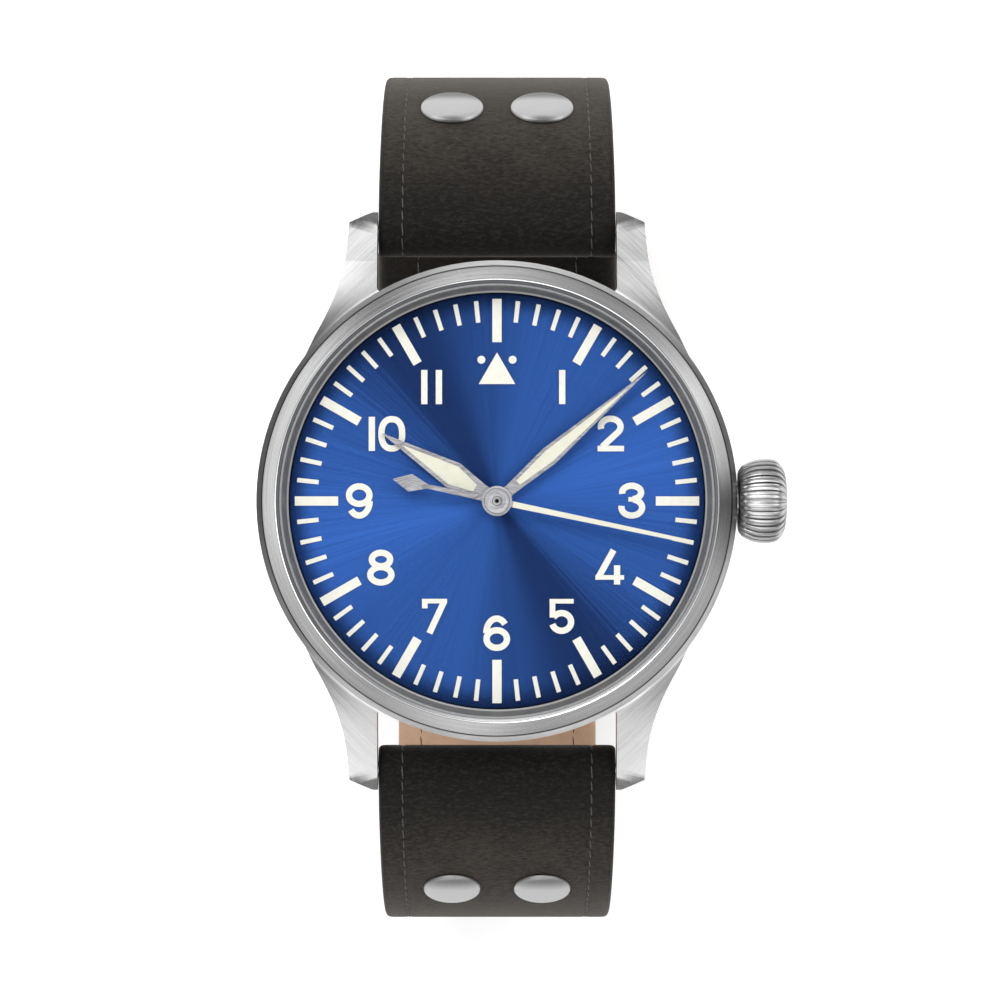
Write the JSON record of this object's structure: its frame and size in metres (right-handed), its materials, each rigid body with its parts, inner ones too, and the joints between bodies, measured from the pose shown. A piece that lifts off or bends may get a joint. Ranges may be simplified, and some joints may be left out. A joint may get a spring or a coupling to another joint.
{
  "type": "pilot watch",
  "caption": "Round steel pilot watch with blue dial, fluted crown, hand-wound gear train behind a glass back, and a riveted leather strap buckled into a loop.",
  "frame": {"origin": "centre of the case back's outer face", "axes": "+Z from the case back through the dial to the crystal, +Y towards 12 o'clock, +X towards 3 o'clock and the crown"},
  "size_m": [0.0442, 0.0736, 0.0487],
  "materials": {
    "case_steel": "fine circular brushing",
    "bezel_steel": "fine circular brushing with a polished inner edge",
    "polished_steel": "polished",
    "crystal_glass": "clear, polished",
    "gasket_rubber": "matte black",
    "flange_grey": "satin grey",
    "holder_plastic": "matte white",
    "plate_nickel": "nickel plate with fine stripes",
    "movement_steel": "satin",
    "wheel_brass": "gilt, satin",
    "jewel_ruby": "polished",
    "dial_blue": "sunburst lacquer",
    "lume_cream": "matte luminous paint",
    "hand_steel": "polished",
    "leather_black": "fine matte grain",
    "lining_tan": "suede",
    "rivet_steel": "satin",
    "spring_blue": "blued steel"
  },
  "bodies": {
    "case": {"case_body": "case_steel", "bezel": "bezel_steel", "crystal": "crystal_glass", "case_gaskets": "gasket_rubber", "inner_ring": "flange_grey", "back_ring": "case_steel", "back_crystal": "crystal_glass", "crown_tube": "polished_steel", "movement_ring": "holder_plastic", "main_plate": "plate_nickel", "barrel_bridge": "plate_nickel", "train_bridge": "plate_nickel", "balance_cock": "plate_nickel", "pallet_bridge": "plate_nickel", "bridge_screws": "spring_blue", "jewels": "jewel_ruby", "dial": "dial_blue", "dial_markers": "lume_cream", "spring_bars": "polished_steel", "strap_12_leather": "leather_black", "strap_12_lining": "lining_tan", "strap_6_leather": "leather_black", "strap_6_lining": "lining_tan", "strap_rivets": "rivet_steel", "fixed_keeper": "leather_black", "hairspring": "spring_blue"},
    "crown_slider": {"crown_seal": "gasket_rubber"},
    "crown_stem": {"crown": "polished_steel", "winding_stem": "movement_steel"},
    "sliding_pinion_body": {"sliding_pinion": "movement_steel"},
    "winding_pinion_body": {"winding_pinion": "movement_steel"},
    "crown_wheel_body": {"crown_wheel": "movement_steel"},
    "ratchet_body": {"ratchet_wheel": "movement_steel", "barrel_arbor": "movement_steel"},
    "click_body": {"click": "movement_steel"},
    "barrel_body": {"barrel": "wheel_brass", "mainspring": "spring_blue"},
    "minute_body": {"centre_wheel": "wheel_brass", "cannon_pinion": "movement_steel", "minute_hand": "hand_steel", "minute_hand_lume": "lume_cream"},
    "third_body": {"third_wheel": "wheel_brass"},
    "seconds_body": {"fourth_wheel": "wheel_brass", "seconds_hand": "hand_steel", "seconds_hand_lume": "lume_cream"},
    "escape_body": {"escape_wheel": "movement_steel"},
    "pallet_body": {"pallet_fork": "movement_steel"},
    "balance_body": {"balance": "wheel_brass"},
    "minute_wheel_body": {"minute_wheel": "wheel_brass"},
    "hour_body": {"hour_wheel": "wheel_brass", "hour_hand": "hand_steel", "hour_hand_lume": "lume_cream"},
    "setting_body": {"setting_wheel": "movement_steel"},
    "tip_12_left": {"bar_tip_12_left": "polished_steel"},
    "tip_12_right": {"bar_tip_12_right": "polished_steel"},
    "tip_6_left": {"bar_tip_6_left": "polished_steel"},
    "tip_6_right": {"bar_tip_6_right": "polished_steel"},
    "keeper_slider": {"sliding_keeper": "leather_black"},
    "buckle": {"buckle_frame": "case_steel"},
    "tongue": {"buckle_tongue": "case_steel"}
  },
  "joints": [
    {"name": "seconds_spin", "type": "hinge", "parent": "case", "child": "seconds_body", "pos_m": [0, 0, 0], "axis": [0, 0, -1], "continuous": true},
    {"name": "third_spin", "type": "hinge", "parent": "case", "child": "third_body", "pos_m": [-0.00435, 0.00116, 0], "axis": [0, 0, -1], "continuous": true},
    {"name": "minute_spin", "type": "hinge", "parent": "case", "child": "minute_body", "pos_m": [0, 0, 0], "axis": [0, 0, -1], "continuous": true},
    {"name": "barrel_spin", "type": "hinge", "parent": "case", "child": "barrel_body", "pos_m": [0.0032, 0.00554, 0], "axis": [0, 0, -1], "continuous": true},
    {"name": "escape_spin", "type": "hinge", "parent": "case", "child": "escape_body", "pos_m": [-0.00038, -0.00434, 0], "axis": [0, 0, -1], "continuous": true},
    {"name": "minute_wheel_spin", "type": "hinge", "parent": "case", "child": "minute_wheel_body", "pos_m": [0.00313, -0.00134, 0], "axis": [0, 0, -1], "continuous": true},
    {"name": "hour_spin", "type": "hinge", "parent": "case", "child": "hour_body", "pos_m": [0, 0, 0], "axis": [0, 0, -1], "continuous": true},
    {"name": "setting_wheel_spin", "type": "hinge", "parent": "case", "child": "setting_body", "pos_m": [0.00625, 0, 0], "axis": [0, 0, -1], "continuous": true},
    {"name": "crown_pull", "type": "slide", "parent": "case", "child": "crown_slider", "axis": [1, 0, 0], "range_m": [0, 0.0009]},
    {"name": "crown_turn", "type": "hinge", "parent": "crown_slider", "child": "crown_stem", "pos_m": [0.02, 0, 0.0044], "axis": [-1, 0, 0], "continuous": true},
    {"name": "winding_pinion_turn", "type": "hinge", "parent": "case", "child": "winding_pinion_body", "pos_m": [0.01065, 0, 0.0044], "axis": [-1, 0, 0], "continuous": true},
    {"name": "crown_wheel_spin", "type": "hinge", "parent": "case", "child": "crown_wheel_body", "pos_m": [0.0084, 0, 0], "axis": [0, 0, -1], "continuous": true},
    {"name": "ratchet_spin", "type": "hinge", "parent": "case", "child": "ratchet_body", "pos_m": [0.0032, 0.00554, 0], "axis": [0, 0, -1], "continuous": true},
    {"name": "sliding_pinion_slide", "type": "slide", "parent": "crown_stem", "child": "sliding_pinion_body", "axis": [1, 0, 0], "range_m": [-0.0018, 0]},
    {"name": "click_swing", "type": "hinge", "parent": "case", "child": "click_body", "pos_m": [-0.00102, 0.0107, 0], "axis": [0, 0, -1], "range_deg": [0, 8], "stiffness_Nm_per_rad": 0.0001},
    {"name": "pallet_swing", "type": "hinge", "parent": "case", "child": "pallet_body", "pos_m": [-0.00265, -0.00571, 0], "axis": [0, 0, -1], "range_deg": [-5, 5]},
    {"name": "balance_swing", "type": "hinge", "parent": "case", "child": "balance_body", "pos_m": [-0.00499, -0.00713, 0], "axis": [0, 0, -1], "range_deg": [-270, 270], "stiffness_Nm_per_rad": 0.0000003},
    {"name": "buckle_hinge", "type": "hinge", "parent": "case", "child": "buckle", "pos_m": [0, -0.0035, -0.03294], "axis": [1, 0, 0], "range_deg": [0, 12]},
    {"name": "tongue_hinge", "type": "hinge", "parent": "buckle", "child": "tongue", "pos_m": [0, -0.0035, -0.03294], "axis": [1, 0, 0], "range_deg": [0, 8]},
    {"name": "keeper_slide", "type": "slide", "parent": "case", "child": "keeper_slider", "axis": [0, -1, 0], "range_m": [0, 0.005]},
    {"name": "tip_12_left_slide", "type": "slide", "parent": "case", "child": "tip_12_left", "axis": [1, 0, 0], "range_m": [0, 0.0011], "stiffness_N_per_m": 800},
    {"name": "tip_12_right_slide", "type": "slide", "parent": "case", "child": "tip_12_right", "axis": [-1, 0, 0], "range_m": [0, 0.0011], "stiffness_N_per_m": 800},
    {"name": "tip_6_left_slide", "type": "slide", "parent": "case", "child": "tip_6_left", "axis": [1, 0, 0], "range_m": [0, 0.0011], "stiffness_N_per_m": 800},
    {"name": "tip_6_right_slide", "type": "slide", "parent": "case", "child": "tip_6_right", "axis": [-1, 0, 0], "range_m": [0, 0.0011], "stiffness_N_per_m": 800}
  ],
  "couplings": [
    {"joint": "third_spin", "follows": "seconds_spin", "ratio": -0.13333},
    {"joint": "minute_spin", "follows": "seconds_spin", "ratio": 0.016667},
    {"joint": "barrel_spin", "follows": "seconds_spin", "ratio": -0.002381},
    {"joint": "escape_spin", "follows": "seconds_spin", "ratio": -10},
    {"joint": "minute_wheel_spin", "follows": "seconds_spin", "ratio": -0.0055556},
    {"joint": "hour_spin", "follows": "seconds_spin", "ratio": 0.0013889},
    {"joint": "setting_wheel_spin", "follows": "seconds_spin", "ratio": 0.016667},
    {"joint": "winding_pinion_turn", "follows": "crown_turn", "ratio": 1},
    {"joint": "crown_wheel_spin", "follows": "crown_turn", "ratio": 0.66667},
    {"joint": "ratchet_spin", "follows": "crown_turn", "ratio": -0.4},
    {"joint": "sliding_pinion_slide", "follows": "crown_pull", "ratio": -2}
  ]
}
